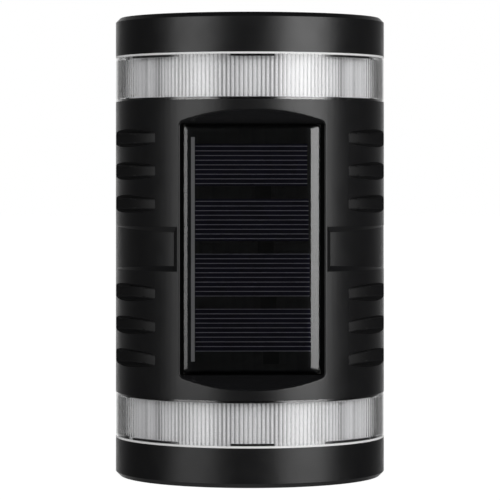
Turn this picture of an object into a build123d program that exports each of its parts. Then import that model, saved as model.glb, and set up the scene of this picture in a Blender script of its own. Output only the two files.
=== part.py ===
"""Solar fence light: a half-round black housing with a solar panel in its front, a ribbed clear
lens band and a cap at each end, and a flat back that hangs on two screws.

Millimetres. +Z is up, the front looks along -Y and the flat back lies on the plane y = 0. The
origin is the centre of the back. What belongs to the upper end is mirrored to the lower end.
"""
from build123d import *

import os
from math import acos, cos, degrees, hypot, pi, radians, sin, sqrt, tan

# --- outer form ---
WIDTH = 96.0                  # across the half cylinder
SIDE_FLAT = 8.0               # straight side between the half cylinder and the back
BODY_HEIGHT = 103.2           # black body between the two lens bands
LENS_HEIGHT = 16.2            # clear band that shows between body and cap
CAP_HEIGHT = 13.7
CAP_CHAMFER = 1.55            # 45 degree edge of the caps

# --- housing ---
WALL = 2.5                    # housing wall
DECK = 2.2                    # floor that closes the body towards each lens band
RIM_HEIGHT = 0.9              # locating rim that stands on each deck inside the lens
RIM_WALL = 1.1                # thickness of that rim and of the caps' locating tabs
RIM_END_ANGLE = 82.0          # the rim ends here, from the middle of the front
LOCATING_GAP = 0.2            # between lens and rim, and between lens and tabs
TRAY_WALL = 1.6               # walls and floor of the panel's tray

# --- window for the solar panel ---
WINDOW_WIDTH = 49.7
WINDOW_END = 8.2              # from the tray's end wall to the body's end
WINDOW_SETBACK = 1.25         # from the window's side edge back to the panel's face
WINDOW_FLARE = 0.592          # rise of the sloped end walls for each millimetre outward
WINDOW_CORNER = 1.0           # rounding of the window's four inner corners
WINDOW_ROUND = 0.5            # rounding of the window's rim

# --- finger grips and recessed band on the sides ---
GRIP_FLOOR = 4.0              # height of a grip's floor, to the sharp corners
GRIP_DRAFT = 0.25             # each side wall leans out by this for a millimetre of depth
GRIP_CORNER = 1.1             # rounding between floor and side walls
GRIP_SWEEP = 80.0             # radius of the grip's floor in plan
GRIP_PITCH = 11.5
GRIP_FIRST = 15.5             # height of the first grip above mid height
GRIPS_PER_QUARTER = 3
GRIP_INNER_ANGLE = 44.3       # where a grip begins, from the middle of the front
GRIP_OUTER_ANGLE = 84.5       # where it ends, at the side
GRIP_SKIN = 1.7               # wall left behind the deepest part of a grip
GRIP_PAD_INSET = 2.2          # the thicker wall ends this angle inside a grip's ends
BAND_HEIGHT = 15.4            # recessed band, at its rim
BAND_DRAW = 1.8               # the band's floor is the outer surface moved back by this
BAND_SLOPE = 1.35             # run of its upper and lower walls for each millimetre of depth
BAND_END_SLOPE = 0.45         # run of its inner end wall
BAND_FROM_WINDOW = 1.05       # land between the window's edge and the band
BAND_ROUND = 0.4              # rounding of the band's rim

# --- lens bands and sleeves ---
LENS_WALL = 1.8
LENS_FLANGE = 1.5             # plain rim next to the cap
LENS_FOOT = 1.0               # plain rim next to the body
RIB_COUNT = 90                # over the half circle
RIB_DEPTH = 0.55
SLEEVE_GAP = 1.9              # between the deck's rim and the white sleeve
SLEEVE_WALL = 1.2

# --- caps ---
CAP_TOP = 2.0
CAP_WALL = 2.0
TAB_REACH = 4.0               # how far a locating tab runs up inside the cap
TAB_MIDDLE_ANGLE = 9.3        # the middle tab spans this far each side of the middle
TAB_SIDE_FROM = 33.5          # each side tab spans from here
TAB_SIDE_TO = 62.0            # to here
POST_RADIUS = 3.2
POST_X = 28.0
POST_DEPTH = 18.0             # from the back to the posts' axes

# --- solar panel ---
TAPE = 0.8
PANEL_BOARD = 1.0
CELL = 0.25
RESIN = 1.6                   # over the panel board
PANEL_SIDE_GAP = 1.15
PANEL_END_GAP = 0.4
RESIN_CORNER = 1.6
RESIN_ROUND = 1.3
CELL_COUNT = 4
CELL_END = 13.9               # from the panel's end to the middle of the first cell
CELL_HEIGHT = 14.6
CELL_PITCH = 19.0             # between the middles of two strips
CELL_LEFT = 4.1               # from the panel's left edge to the cells
CELL_LENGTH = 38.6            # of the first strip
CELL_LENGTH_STEP = 0.4        # each strip below is cut this much longer
RIBBON_WIDTH = 1.27
RIBBON_GAP = 0.2              # between ribbon and cells
RIBBON_END = 4.3              # from the panel's end
RIBBON = 0.3                  # ribbon thickness
LINK_WIDTH = 5.5
LINK_LEFT = 20.6              # first link's left edge from the cells' left edge
LINK_STEP = 0.93              # each link below sits this much further right
LINK = 0.1

# --- back cover ---
COVER = 3.0
COVER_GAP = 0.15
GASKET = 1.0
LEDGE_WIDTH = 3.0
LEDGE = 2.0
TOWER_FROM_SIDE = 7.5         # towers' axes from the inner side walls
TOWER_FROM_DECK = 8.9         # and from the decks
TOWER_RADIUS = 3.3
KEYHOLE_ENTRY = 4.5           # radius that a screw head passes
KEYHOLE_SLOT = 2.2            # half width of the slot for the shank
KEYHOLE_RISE = 7.0            # from the entry's centre up to the slot's end centre
KEYHOLE_POCKET = 5.5          # free depth behind the plate for the screw head
POCKET_WALL = 1.2
POCKET_MARGIN = 0.8           # free width round the keyhole behind the plate

# --- screws (radii of shank, radii and heights of head) ---
SCREW_SHANK = 1.45
SCREW_HEAD = 2.8
SCREW_HEAD_HEIGHT = 1.6
SCREW_LENGTH = 12.0
SMALL_SHANK = 0.95
SMALL_HEAD = 1.9
SMALL_HEAD_HEIGHT = 1.2
SMALL_LENGTH = 4.4
THREAD_GAP = 0.05             # threads are left plain, with this gap to their holes
HOLE_GAP = 0.2                # clearance holes
RECESS_GAP = 0.35             # round the heads of the back cover's screws
SCREW_SINK = 0.2              # these heads lie this far inside the back
CROSS_WIDTH = 0.8

# --- LED boards ---
LED_TAPE = 0.5
LED_BOARD = 1.0
LED_BOARD_LENGTH = 40.0
LED_BOARD_WIDTH = 12.0
LED_DEPTH = 22.0              # from the back to the LED boards' middle
LED_COUNT = 4
LED_PITCH = 10.0
LED_LENGTH = 3.5
LED_WIDTH = 2.8
LED_HEIGHT = 0.8
LED_DOME = 1.1
GROMMET_RADIUS = 2.6
GROMMET_FLANGE = 1.0
GROMMET_FLANGE_HEIGHT = 0.8
GROMMET_BORE = 1.5
GROMMET_GAP = 0.05

# --- control board ---
BOARD_LENGTH = 36.0
BOARD_WIDTH = 18.0
BOARD = 1.6
POCKET_TO_BOARD = 0.6         # from the upper keyhole's pocket down to the board
STANDOFF = 4.0
STANDOFF_RADIUS = 2.4
STANDOFF_X = 15.0
CHIP_X, CHIP_RISE = -5.0, 2.5 # places on the board, from its middle
CHIP_SIZE = 5.0
CHIP_HEIGHT = 1.6
COIL_X, COIL_RISE = 4.5, 3.0
COIL_RADIUS = 3.6
COIL_HEIGHT = 5.0
CAPACITOR_X, CAPACITOR_RISE = 8.5, -5.0
CAPACITOR_RADIUS = 2.5
CAPACITOR_HEIGHT = 7.0
RESISTOR_X, RESISTOR_RISE = -4.0, -4.0
RESISTOR_PITCH = 5.0
RESISTOR_COUNT = 2
RESISTOR_LENGTH = 3.2
RESISTOR_WIDTH = 1.6
RESISTOR_HEIGHT = 0.6

# --- slide switch ---
SWITCH_LENGTH = 8.6
SWITCH_WIDTH = 3.8
SWITCH_GAP = 0.4              # between switch body and back cover
KNOB_LENGTH = 2.6
KNOB_WIDTH = 3.0
KNOB_TRAVEL = 2.0
KNOB_GAP = 0.3                # round the moving knob
KNOB_LIFT = 0.1               # between the knob's head and the switch body
KNOB_BELOW_BACK = 0.5         # the knob's top stays this far inside the back
KNOB_STEM = 1.5
KNOB_STEM_DEPTH = 1.2
FINGER_RECESS = 1.6           # depth of the recess round the knob
FINGER_LENGTH = 13.0
FINGER_WIDTH = 8.0

# --- battery: one AA cell ---
BATTERY_RADIUS = 7.0
BATTERY_LENGTH = 49.2
NUB_RADIUS = 2.7
NUB_LENGTH = 1.2
WRAP = 0.2
WRAP_SHORT = 0.2              # the sleeve ends this far from the can's ends
BATTERY_GAP = 0.1
BOARD_TO_HOLDER = 2.5         # from the board down to the battery holder
HOLDER_TO_POCKET = 1.0        # from the holder down to the lower keyhole's pocket
HOLDER_WALL = 1.5
HOLDER_SIDE_GAP = 0.25
HOLDER_DEPTH = 9.5
SPRING_ROOM = 5.15            # between the negative plate and the can
CONTACT = 0.4
CONTACT_WIDTH = 9.0
CONTACT_RISE = 2.0            # how far the solder tabs stand out of the holder
SPRING_WIRE = 0.35            # radius of the wire
SPRING_BASE = 4.6
SPRING_TIP = 3.0
SPRING_TURNS = 4
HOLDER_SCREW_X = 18.0
HOLDER_SCREW_SINK = 0.05      # the countersunk heads lie this far below the holder's floor
HOLDER_SCREW_LENGTH = 3.6

# --- wires ---
WIRE = 0.55                   # radius over the insulation
WIRE_PITCH = 1.5              # between the two wires of a pair
WIRE_HOLE = 2.0
LED_WIRE_X = -10.0
PANEL_WIRE_X, PANEL_WIRE_RISE = 14.2, 6.0
WIRE_PAD_INSET = 2.2          # from the board's edge to the pads
BATTERY_PAD_X = 15.8

# --- worked out from the sizes above ---
RADIUS = WIDTH / 2
AXIS_Y = -SIDE_FLAT
FRONT_Y = AXIS_Y - RADIUS
BODY_TOP = BODY_HEIGHT / 2
LENS_TOP = BODY_TOP + LENS_HEIGHT
LIGHT_TOP = LENS_TOP + CAP_HEIGHT
DECK_UNDER = BODY_TOP - DECK
INNER_RADIUS = RADIUS - WALL
GRIP_MIDDLE = (GRIP_INNER_ANGLE + GRIP_OUTER_ANGLE) / 2
GRIP_HALF_SPAN = (GRIP_OUTER_ANGLE - GRIP_INNER_ANGLE) / 2
GRIP_CENTRE = (RADIUS * cos(radians(GRIP_HALF_SPAN))
               + sqrt(GRIP_SWEEP**2 - (RADIUS * sin(radians(GRIP_HALF_SPAN)))**2))
GRIP_DEPTH = RADIUS - (GRIP_CENTRE - GRIP_SWEEP)
GRIP_REACH = 2 * GRIP_DEPTH
GRIP_PAD_RADIUS = RADIUS - GRIP_DEPTH - GRIP_SKIN
LENS_INNER = RADIUS - LENS_WALL
RIM_OUTER = LENS_INNER - LOCATING_GAP
SLEEVE_RADIUS = RIM_OUTER - RIM_WALL - SLEEVE_GAP
CAP_INNER_TOP = LIGHT_TOP - CAP_TOP
WINDOW_X = WINDOW_WIDTH / 2
WINDOW_Z = BODY_TOP - WINDOW_END
WINDOW_EDGE_Y = AXIS_Y - sqrt(RADIUS**2 - WINDOW_X**2)
PANEL_FACE = WINDOW_EDGE_Y + WINDOW_SETBACK
BOARD_FACE = PANEL_FACE + RESIN
BOARD_BACK = BOARD_FACE + PANEL_BOARD
TRAY_FLOOR = BOARD_BACK + TAPE
TRAY_BACK = TRAY_FLOOR + TRAY_WALL
PANEL_X = WINDOW_X - PANEL_SIDE_GAP
PANEL_Z = WINDOW_Z - PANEL_END_GAP
CELLS_X = -PANEL_X + CELL_LEFT
COVER_FACE = -COVER
COVER_X = INNER_RADIUS - COVER_GAP
COVER_Z = LENS_TOP - COVER_GAP
TOWER_X = INNER_RADIUS - TOWER_FROM_SIDE
TOWER_Z = DECK_UNDER - TOWER_FROM_DECK
SCREW_SEAT = -SCREW_SINK - SCREW_HEAD_HEIGHT
WINDOW_RIM_LIMIT = 0.89 * WINDOW_CORNER * tan(acos(WINDOW_X / RADIUS) / 2)   # fits the corner
BAND_X = WINDOW_X + BAND_FROM_WINDOW
CONTROL_BACK = COVER_FACE - STANDOFF
CONTROL_FACE = CONTROL_BACK - BOARD
SWITCH_TOP = COVER_FACE - SWITCH_GAP
KNOB_OFF_X = -KNOB_TRAVEL / 2
HOLDER_FLOOR = COVER_FACE - HOLDER_WALL
HOLDER_SCREW_Y = HOLDER_FLOOR + HOLDER_SCREW_SINK
BATTERY_Y = HOLDER_FLOOR - BATTERY_GAP - BATTERY_RADIUS - WRAP
HOLDER_INSIDE = BATTERY_RADIUS + WRAP + HOLDER_SIDE_GAP
HOLDER_HALF = HOLDER_INSIDE + HOLDER_WALL
ROOM_X = (BATTERY_LENGTH + NUB_LENGTH + SPRING_ROOM + 2 * CONTACT + BATTERY_GAP) / 2
CAN_RIGHT = ROOM_X - CONTACT - BATTERY_GAP - NUB_LENGTH
CAN_LEFT = CAN_RIGHT - BATTERY_LENGTH
HOLDER_END_X = ROOM_X + HOLDER_WALL
HOLDER_RIM = COVER_FACE - HOLDER_DEPTH
PCB_LED_Z = BODY_TOP + LED_TAPE

# the keyholes lie as far apart as the board and the battery holder between their pockets need
POCKET_HALF = KEYHOLE_ENTRY + POCKET_MARGIN
POCKET_DOWN = POCKET_HALF + POCKET_WALL
POCKET_UP = KEYHOLE_RISE + POCKET_HALF + POCKET_WALL
KEYHOLE_Z = (POCKET_DOWN + POCKET_TO_BOARD + BOARD_WIDTH + BOARD_TO_HOLDER + 2 * HOLDER_HALF
             + HOLDER_TO_POCKET + POCKET_UP) / 2
BOARD_Z = KEYHOLE_Z - POCKET_DOWN - POCKET_TO_BOARD - BOARD_WIDTH / 2
BATTERY_Z = BOARD_Z - BOARD_WIDTH / 2 - BOARD_TO_HOLDER - HOLDER_HALF
PANEL_WIRE_Z = BOARD_Z + PANEL_WIRE_RISE


# --- plain shapes ---
def box(x0, x1, y0, y1, z0, z1):
    """Block between two corners."""
    return Pos((x0 + x1) / 2, (y0 + y1) / 2, (z0 + z1) / 2) * Box(x1 - x0, y1 - y0, z1 - z0)


def rod_x(x0, x1, y, z, radius):
    return Pos((x0 + x1) / 2, y, z) * Rot(0, 90, 0) * Cylinder(radius, x1 - x0)


def rod_y(x, y0, y1, z, radius):
    return Pos(x, (y0 + y1) / 2, z) * Rot(90, 0, 0) * Cylinder(radius, y1 - y0)


def rod_z(x, y, z0, z1, radius):
    return Pos(x, y, (z0 + z1) / 2) * Cylinder(radius, z1 - z0)


def at_angle(radius, angle):
    """Point on a circle about the half cylinder's axis, angle in degrees from the front."""
    return (radius * sin(radians(angle)), AXIS_Y - radius * cos(radians(angle)))


def half_round(radius, back_y):
    """Face of a half circle with straight sides back to back_y."""
    sides = Polyline((-radius, AXIS_Y), (-radius, back_y), (radius, back_y), (radius, AXIS_Y))
    front = ThreePointArc((radius, AXIS_Y), (0, AXIS_Y - radius), (-radius, AXIS_Y))
    return make_face(sides + front)


def open_half_round(outer, inner_curve, back_y):
    """C-shaped face between the half circle outside and a given inner curve, open at the back."""
    left, right = inner_curve @ 0, inner_curve @ 1
    legs = Polyline(right, (right.X, back_y), (outer, back_y), (outer, AXIS_Y))
    front = ThreePointArc((outer, AXIS_Y), (0, AXIS_Y - outer), (-outer, AXIS_Y))
    other = Polyline((-outer, AXIS_Y), (-outer, back_y), (left.X, back_y), left)
    return make_face(Curve() + [inner_curve, legs, front, other])


def plain_inside(radius):
    return ThreePointArc((-radius, AXIS_Y), (0, AXIS_Y - radius), (radius, AXIS_Y))


def upright(face, z0, z1):
    """Prism of an XY face between two heights."""
    return extrude(Pos(0, 0, z0) * face, z1 - z0, dir=(0, 0, 1))


def arc_wall(inner, outer, angle0, angle1, z0, z1):
    """Curved wall about the half cylinder's axis."""
    middle = (angle0 + angle1) / 2
    outline = Curve() + [
        ThreePointArc(at_angle(inner, angle0), at_angle(inner, middle), at_angle(inner, angle1)),
        Line(at_angle(inner, angle1), at_angle(outer, angle1)),
        ThreePointArc(at_angle(outer, angle1), at_angle(outer, middle), at_angle(outer, angle0)),
        Line(at_angle(outer, angle0), at_angle(inner, angle0)),
    ]
    return upright(make_face(outline), z0, z1)


def to_lower(shape):
    """The same piece at the lower end."""
    return mirror(shape, about=Plane.XY)


def radial(point):
    """Distance of a point from the half cylinder's axis."""
    return hypot(point.X, point.Y - AXIS_Y)


def pan_screw(shank, head, head_height, length):
    """Screw along +Z with a cross recess: head above z = 0, shank below."""
    screw = Pos(0, 0, head_height / 2) * Cylinder(head, head_height)
    screw = fillet(screw.edges().group_by(Axis.Z)[-1], head_height * 0.45)
    cross = Box(head * 1.1, CROSS_WIDTH, head_height) + Box(CROSS_WIDTH, head * 1.1, head_height)
    shaft = Pos(0, 0, -length / 2) * Cylinder(shank, length)
    shaft = chamfer(shaft.edges().group_by(Axis.Z)[0], shank * 0.5)
    return screw + shaft - Pos(0, 0, head_height) * cross


# --- housing ---
def rim_edges(solid, keep):
    """Edges that lie on the outer round surface and pass the test."""
    found = []
    for edge in solid.edges():
        points = [edge.position_at(t) for t in (0.0, 0.25, 0.5, 0.75, 1.0)]
        if all(abs(radial(p) - RADIUS) < 1e-3 and keep(p) for p in points):
            found.append(edge)
    return found


def window_outline(grow, front):
    """YZ outline of the window: tray end walls, then the flare out to y = front."""
    z0 = WINDOW_Z + grow
    z1 = z0 + WINDOW_FLARE * (PANEL_FACE - front)
    floor = TRAY_FLOOR + grow
    points = [(floor, -z0), (PANEL_FACE, -z0), (front, -z1), (front, z1), (PANEL_FACE, z0),
              (floor, z0), (floor, -z0)]
    return make_face(Polyline(*[(0, y, z) for y, z in points]))


def window_block(grow, front):
    half = WINDOW_X + grow
    block = extrude(Pos(-half, 0, 0) * window_outline(grow, front), 2 * half, dir=(1, 0, 0))
    along_y = [e for e in block.edges()
               if abs((e @ 0).X - (e @ 1).X) < 1e-6 and abs((e @ 0).Y - (e @ 1).Y) > 0.1]
    return fillet(along_y, WINDOW_CORNER)


def grip_cutter(z):
    """Scoop with a drafted section and a floor that is an arc in plan: part of a disc whose rim
    crosses the housing's surface at the grip's two end angles."""
    section = make_face(Polyline(
        (GRIP_SWEEP, -GRIP_FLOOR / 2), (GRIP_SWEEP, GRIP_FLOOR / 2),
        (GRIP_SWEEP - GRIP_REACH, GRIP_FLOOR / 2 + GRIP_DRAFT * GRIP_REACH),
        (GRIP_SWEEP - GRIP_REACH, -GRIP_FLOOR / 2 - GRIP_DRAFT * GRIP_REACH),
        (GRIP_SWEEP, -GRIP_FLOOR / 2)))
    section = fillet(section.vertices().sort_by(Axis.X)[-2:], GRIP_CORNER)
    centre_x, centre_y = at_angle(GRIP_CENTRE, GRIP_MIDDLE)
    x, y = at_angle(1, GRIP_MIDDLE + 90 - GRIP_HALF_SPAN)
    start = Plane(origin=(0, 0, 0), x_dir=(x, y - AXIS_Y, 0), z_dir=(y - AXIS_Y, -x, 0))
    ring = revolve(start * section, Axis((0, 0, 0), (0, 0, 1)), 360)
    return Pos(centre_x, centre_y, z) * ring


def band_cutter():
    """Recess between the outer surface and the same surface moved back, with sloped walls."""
    deep = 2 * BAND_DRAW
    half = BAND_HEIGHT / 2
    inner, outer = RADIUS - deep, RADIUS + deep
    section = make_face(Polyline(
        (inner, AXIS_Y, -half + BAND_SLOPE * deep), (outer, AXIS_Y, -half - BAND_SLOPE * deep),
        (outer, AXIS_Y, half + BAND_SLOPE * deep), (inner, AXIS_Y, half - BAND_SLOPE * deep),
        (inner, AXIS_Y, -half + BAND_SLOPE * deep)))
    ring = revolve(section, Axis((0, AXIS_Y, 0), (0, 0, 1)), -180)
    edge_y = AXIS_Y - sqrt(RADIUS**2 - BAND_X**2)
    run = BAND_END_SLOPE * deep
    side = make_face(Polyline(
        (BAND_X - run, edge_y - deep), (BAND_X + run, edge_y + deep), (BAND_X + run, 0),
        (WIDTH, 0), (WIDTH, edge_y - deep), (BAND_X - run, edge_y - deep)))
    ring = ring & upright(side, -BAND_HEIGHT * 2, BAND_HEIGHT * 2)
    floor = Pos(0, AXIS_Y + BAND_DRAW, 0) * Cylinder(RADIUS + 0.05, BAND_HEIGHT * 4)
    return ring - floor


def main_housing():
    body = upright(half_round(RADIUS, 0), -BODY_TOP, BODY_TOP)
    body -= window_block(0, FRONT_Y - WALL)
    rim = rim_edges(body, lambda p: abs(p.X) < WINDOW_X + 0.01 and abs(p.Z) < BODY_TOP - 0.5)
    body = fillet(rim, min(WINDOW_ROUND, WINDOW_RIM_LIMIT))
    grips = [sign * (GRIP_FIRST + GRIP_PITCH * i) for i in range(GRIPS_PER_QUARTER)
             for sign in (1, -1)]
    for z in grips:
        scoop = grip_cutter(z)
        body = body - scoop - mirror(scoop, about=Plane.YZ)
    band = band_cutter()
    body = body - band - mirror(band, about=Plane.YZ)
    rim = rim_edges(body, lambda p: abs(p.X) > BAND_X - BAND_ROUND and abs(p.Z) < BAND_HEIGHT / 2 + 0.1)
    body = fillet(rim, BAND_ROUND)

    inside = upright(half_round(INNER_RADIUS, WALL), -DECK_UNDER, DECK_UNDER)
    inside -= window_block(TRAY_WALL, FRONT_Y)
    body -= inside
    body -= box(-INNER_RADIUS, INNER_RADIUS, COVER_FACE, WALL, -LIGHT_TOP, LIGHT_TOP)

    # thicker wall behind the grips
    last_grip = GRIP_FIRST + GRIP_PITCH * (GRIPS_PER_QUARTER - 1)
    pad = arc_wall(GRIP_PAD_RADIUS, INNER_RADIUS + WALL / 4, GRIP_INNER_ANGLE + GRIP_PAD_INSET,
                   GRIP_OUTER_ANGLE - GRIP_PAD_INSET, GRIP_FIRST - GRIP_PITCH / 2,
                   last_grip + GRIP_PITCH / 2)
    scoops = [grip_cutter(z) for z in grips if z > 0]
    for scoop in scoops:
        pad -= scoop
    pad += to_lower(pad)
    body = body + pad + mirror(pad, about=Plane.YZ)

    # ledge that carries the back cover's gasket
    ledge_front = COVER_FACE - GASKET
    ledge = box(-INNER_RADIUS, INNER_RADIUS, ledge_front - LEDGE, ledge_front,
                -DECK_UNDER, DECK_UNDER)
    ledge -= box(-INNER_RADIUS + LEDGE_WIDTH, INNER_RADIUS - LEDGE_WIDTH, ledge_front - 2 * LEDGE,
                 0, -DECK_UNDER + LEDGE_WIDTH, DECK_UNDER - LEDGE_WIDTH)
    body += ledge

    # towers for the back cover's screws, cut off inside the thicker wall
    wall_radius = GRIP_PAD_RADIUS + GRIP_SKIN / 2
    for x in (-TOWER_X, TOWER_X):
        for z in (-TOWER_Z, TOWER_Z):
            tower = rod_y(x, FRONT_Y, COVER_FACE, z, TOWER_RADIUS)
            body += tower & upright(half_round(wall_radius, 0), -BODY_TOP, BODY_TOP)
            pilot_end = SCREW_SEAT - SCREW_LENGTH - THREAD_GAP
            body -= rod_y(x, pilot_end, COVER_FACE, z, SCREW_SHANK + THREAD_GAP)

    # deck rims, screw holes and wire holes, the same at both ends
    rim = arc_wall(RIM_OUTER - RIM_WALL, RIM_OUTER, -RIM_END_ANGLE, RIM_END_ANGLE,
                   BODY_TOP - DECK / 2, BODY_TOP + RIM_HEIGHT)
    body = body + rim + to_lower(rim)
    for z0, z1 in ((DECK_UNDER - 1, BODY_TOP + 1), (-BODY_TOP - 1, -DECK_UNDER + 1)):
        for x in (-POST_X, POST_X):
            body -= rod_z(x, -POST_DEPTH, z0, z1, SCREW_SHANK + HOLE_GAP)
        body -= rod_z(LED_WIRE_X, -LED_DEPTH, z0, z1, GROMMET_RADIUS)
    body -= rod_y(PANEL_WIRE_X, TRAY_FLOOR - 1, TRAY_BACK + 1, PANEL_WIRE_Z, WIRE_HOLE)
    return body


# --- caps, lenses and sleeves ---
def upper_cap():
    cap = upright(half_round(RADIUS, 0), LENS_TOP, LIGHT_TOP)
    top_edges = cap.edges().group_by(Axis.Z)[-1].sort_by(Axis.Y)[:-1]
    cap = chamfer(top_edges, CAP_CHAMFER)
    cap -= upright(half_round(RADIUS - CAP_WALL, -CAP_WALL), LENS_TOP - 1, CAP_INNER_TOP)
    low = LENS_TOP - LENS_FLANGE + LOCATING_GAP / 2
    spans = ((-TAB_MIDDLE_ANGLE, TAB_MIDDLE_ANGLE), (TAB_SIDE_FROM, TAB_SIDE_TO),
             (-TAB_SIDE_TO, -TAB_SIDE_FROM))
    for start, end in spans:
        cap += arc_wall(RIM_OUTER - RIM_WALL, RIM_OUTER, start, end, low, LENS_TOP + TAB_REACH)
        cap += arc_wall(RIM_OUTER - RIM_WALL / 2, RADIUS - CAP_WALL / 2, start, end,
                        LENS_TOP, LENS_TOP + TAB_REACH)
    pilot_top = DECK_UNDER + SCREW_LENGTH + THREAD_GAP
    for x in (-POST_X, POST_X):
        cap += rod_z(x, -POST_DEPTH, BODY_TOP, CAP_INNER_TOP + CAP_TOP / 2, POST_RADIUS)
        cap -= rod_z(x, -POST_DEPTH, BODY_TOP - 1, pilot_top, SCREW_SHANK + THREAD_GAP)
    return cap


def ribbed_inside():
    """Inner curve of the lens: one shallow round rib after another."""
    step = 180 / RIB_COUNT
    ribs = Curve()
    for i in range(RIB_COUNT):
        start = -90 + i * step
        ribs += ThreePointArc(at_angle(LENS_INNER, start),
                              at_angle(LENS_INNER - RIB_DEPTH, start + step / 2),
                              at_angle(LENS_INNER, start + step))
    return ribs


def lens_face(inner_curve):
    left, right = (-LENS_INNER, AXIS_Y), (LENS_INNER, AXIS_Y)
    outline = Curve() + [
        inner_curve,
        Polyline(right, (LENS_INNER, 0), (RADIUS, 0), (RADIUS, AXIS_Y)),
        ThreePointArc((RADIUS, AXIS_Y), (0, FRONT_Y), (-RADIUS, AXIS_Y)),
        Polyline((-RADIUS, AXIS_Y), (-RADIUS, 0), (-LENS_INNER, 0), left),
    ]
    return make_face(outline)


def upper_lens():
    plain = lens_face(plain_inside(LENS_INNER))
    ribs_low, ribs_high = BODY_TOP + LENS_FOOT, LENS_TOP - LENS_FLANGE
    lens = upright(plain, BODY_TOP, ribs_low)
    lens += upright(lens_face(ribbed_inside()), ribs_low, ribs_high)
    lens += upright(plain, ribs_high, LENS_TOP)
    return lens


def upper_diffuser():
    inner = SLEEVE_RADIUS - SLEEVE_WALL
    face = open_half_round(SLEEVE_RADIUS, plain_inside(inner), COVER_FACE - THREAD_GAP)
    return upright(face, BODY_TOP, CAP_INNER_TOP - THREAD_GAP)


# --- LED chambers ---
def upper_led_board():
    x, w = LED_BOARD_LENGTH / 2, LED_BOARD_WIDTH / 2
    return box(-x, x, -LED_DEPTH - w, -LED_DEPTH + w, PCB_LED_Z, PCB_LED_Z + LED_BOARD)


def upper_led_tape():
    x, w = LED_BOARD_LENGTH / 2, LED_BOARD_WIDTH / 2
    tape = box(-x, x, -LED_DEPTH - w, -LED_DEPTH + w, BODY_TOP, PCB_LED_Z)
    return tape - rod_z(LED_WIRE_X, -LED_DEPTH, BODY_TOP - 1, PCB_LED_Z + 1, GROMMET_RADIUS)


def upper_leds():
    base_z = PCB_LED_Z + LED_BOARD
    leds = []
    for i in range(LED_COUNT):
        x = (i - (LED_COUNT - 1) / 2) * LED_PITCH
        led = box(x - LED_LENGTH / 2, x + LED_LENGTH / 2, -LED_DEPTH - LED_WIDTH / 2,
                  -LED_DEPTH + LED_WIDTH / 2, base_z, base_z + LED_HEIGHT)
        dome = Pos(x, -LED_DEPTH, base_z + LED_HEIGHT) * Sphere(LED_DOME)
        leds.append(led + (dome & box(x - LED_LENGTH, x + LED_LENGTH, -LED_DEPTH - LED_WIDTH,
                                      -LED_DEPTH + LED_WIDTH, base_z + LED_HEIGHT / 2,
                                      base_z + LED_HEIGHT + LED_DOME)))
    return leds


def upper_grommet():
    plug = rod_z(LED_WIRE_X, -LED_DEPTH, DECK_UNDER, BODY_TOP, GROMMET_RADIUS - GROMMET_GAP)
    plug += rod_z(LED_WIRE_X, -LED_DEPTH, DECK_UNDER - GROMMET_FLANGE_HEIGHT, DECK_UNDER,
                  GROMMET_RADIUS + GROMMET_FLANGE)
    return plug - rod_z(LED_WIRE_X, -LED_DEPTH, DECK_UNDER - 2, BODY_TOP + 1, GROMMET_BORE)


# --- solar panel ---
def cell_middle(i):
    return PANEL_Z - CELL_END - i * CELL_PITCH


def solar_cell(i):
    length = CELL_LENGTH + i * CELL_LENGTH_STEP
    z = cell_middle(i)
    return box(CELLS_X, CELLS_X + length, BOARD_FACE - CELL, BOARD_FACE,
               z - CELL_HEIGHT / 2, z + CELL_HEIGHT / 2)


def cell_ribbon():
    x = CELLS_X - RIBBON_GAP
    return box(x - RIBBON_WIDTH, x, BOARD_FACE - RIBBON, BOARD_FACE,
               -PANEL_Z + RIBBON_END, PANEL_Z - RIBBON_END)


def cell_links():
    """Dark tabs between each cell and the next, and below the last."""
    height = CELL_PITCH - CELL_HEIGHT
    links = []
    for i in range(CELL_COUNT):
        x = CELLS_X + LINK_LEFT + i * LINK_STEP
        z = cell_middle(i) - CELL_PITCH / 2
        links.append(box(x, x + LINK_WIDTH, BOARD_FACE - LINK, BOARD_FACE,
                         z - height / 2, z + height / 2))
    return links


def panel_board():
    return box(-PANEL_X, PANEL_X, BOARD_FACE, BOARD_BACK, -PANEL_Z, PANEL_Z)


def panel_epoxy():
    """Clear slab cast over the cells, round at its upper edges and corners."""
    slab = box(-PANEL_X, PANEL_X, PANEL_FACE, BOARD_FACE, -PANEL_Z, PANEL_Z)
    slab = fillet(slab.edges().filter_by(Axis.Y), RESIN_CORNER)
    slab = fillet(slab.faces().sort_by(Axis.Y)[0].edges(), min(RESIN_ROUND, RESIN * 0.85))
    for i in range(CELL_COUNT):
        slab -= solar_cell(i)
    slab -= cell_ribbon()
    for link in cell_links():
        slab -= link
    return slab


def panel_tape():
    tape = box(-PANEL_X, PANEL_X, BOARD_BACK, TRAY_FLOOR, -PANEL_Z, PANEL_Z)
    return tape - rod_y(PANEL_WIRE_X, BOARD_BACK - 1, TRAY_FLOOR + 1, PANEL_WIRE_Z, WIRE_HOLE)


# --- back cover ---
def keyhole(grow, y0, y1):
    """Upright slot with a round entry at its lower end, widened all round by grow."""
    entry = rod_y(0, y0, y1, KEYHOLE_Z, KEYHOLE_ENTRY + grow)
    top = rod_y(0, y0, y1, KEYHOLE_Z + KEYHOLE_RISE, KEYHOLE_SLOT + grow)
    slot = box(-KEYHOLE_SLOT - grow, KEYHOLE_SLOT + grow, y0, y1, KEYHOLE_Z,
               KEYHOLE_Z + KEYHOLE_RISE)
    return entry + top + slot


def head_room(grow, y0, y1):
    """Room behind a keyhole for the screw's head all along its slot."""
    half = POCKET_HALF + grow
    return box(-half, half, y0, y1, KEYHOLE_Z - half, KEYHOLE_Z + KEYHOLE_RISE + half)


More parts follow.
